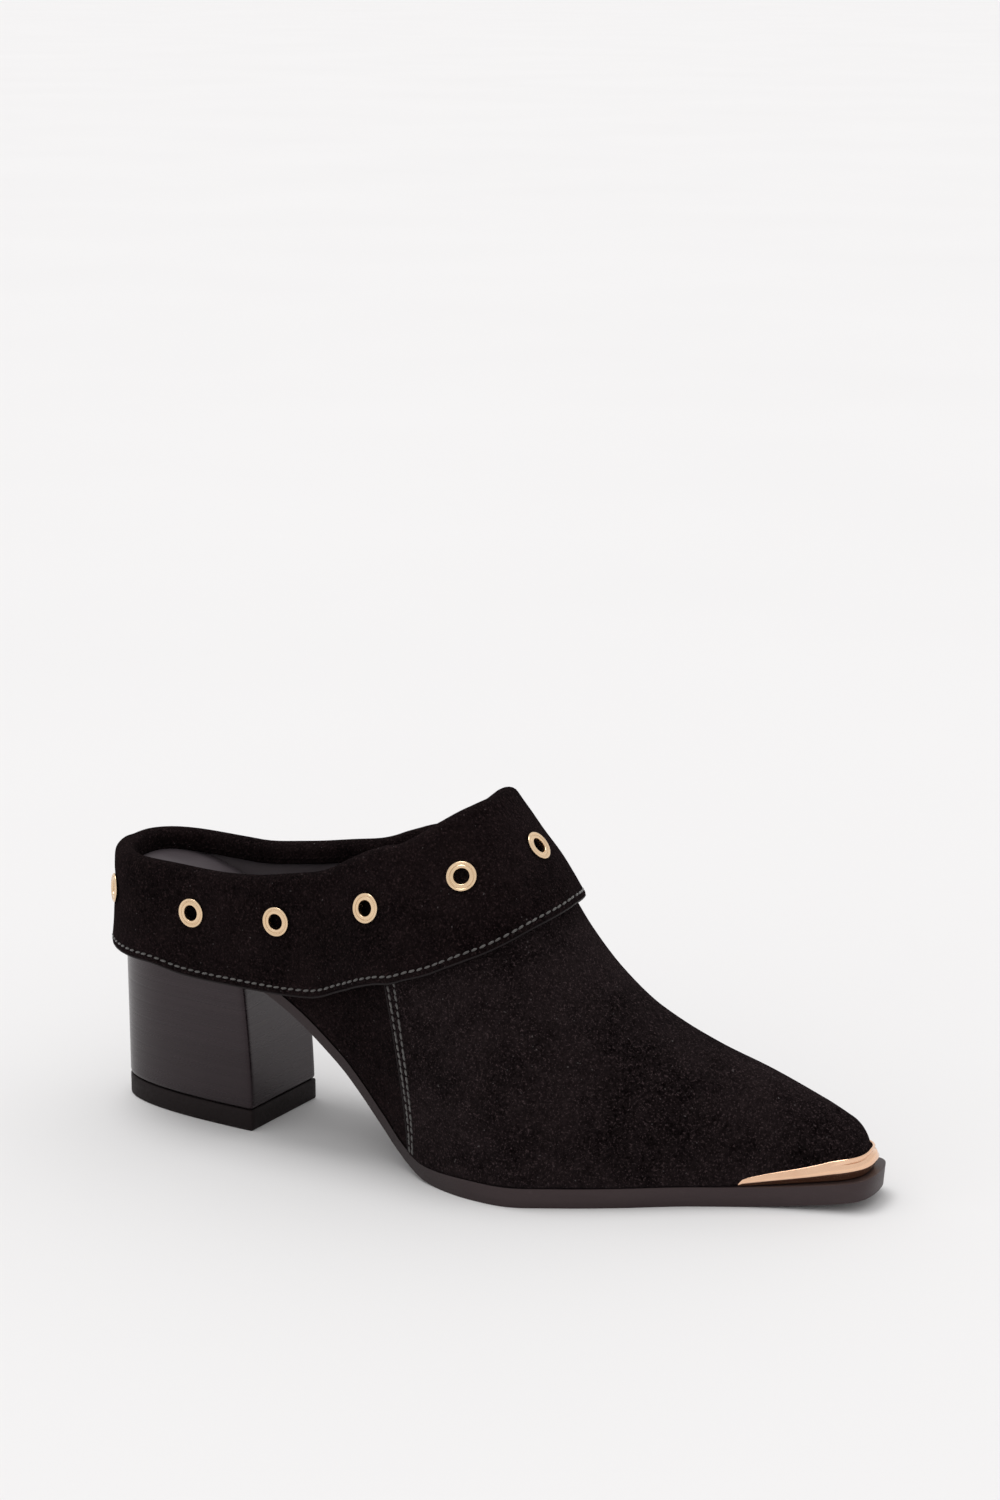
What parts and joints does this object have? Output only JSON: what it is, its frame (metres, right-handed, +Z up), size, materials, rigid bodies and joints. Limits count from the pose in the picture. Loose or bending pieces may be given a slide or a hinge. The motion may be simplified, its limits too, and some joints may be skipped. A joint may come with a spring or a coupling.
{
  "type": "heeled mule",
  "caption": "Pointed slip-on shoe with a stacked block heel, a deep folded suede cuff set with metal eyelets, a curved vamp seam and a metal rim round the toe.",
  "frame": {"origin": "centre of the heel tip's underside, on the floor", "axes": "+X towards the toe, +Y towards the inner side of the foot, +Z up"},
  "size_m": [0.2659, 0.0832, 0.1188],
  "materials": {
    "suede": "matt napped suede, near black with a warm tone",
    "sole_leather": "satin",
    "heel_stack": "satin, with fine stack lines",
    "tip_rubber": "matt",
    "lining": "satin",
    "pale_gold": "polished pale gold",
    "rose_gold": "mirror-like rose gold"
  },
  "bodies": {
    "root": {"outsole": "sole_leather", "heel": "heel_stack", "heel_tip": "tip_rubber", "insole": "lining", "upper": "suede", "cuff": "suede", "toe_rim": "rose_gold", "eyelet_00": "pale_gold", "eyelet_01": "pale_gold", "eyelet_02": "pale_gold", "eyelet_03": "pale_gold", "eyelet_04": "pale_gold", "eyelet_05": "pale_gold", "eyelet_06": "pale_gold", "eyelet_07": "pale_gold", "eyelet_08": "pale_gold", "eyelet_09": "pale_gold", "eyelet_10": "pale_gold"}
  },
  "joints": []
}
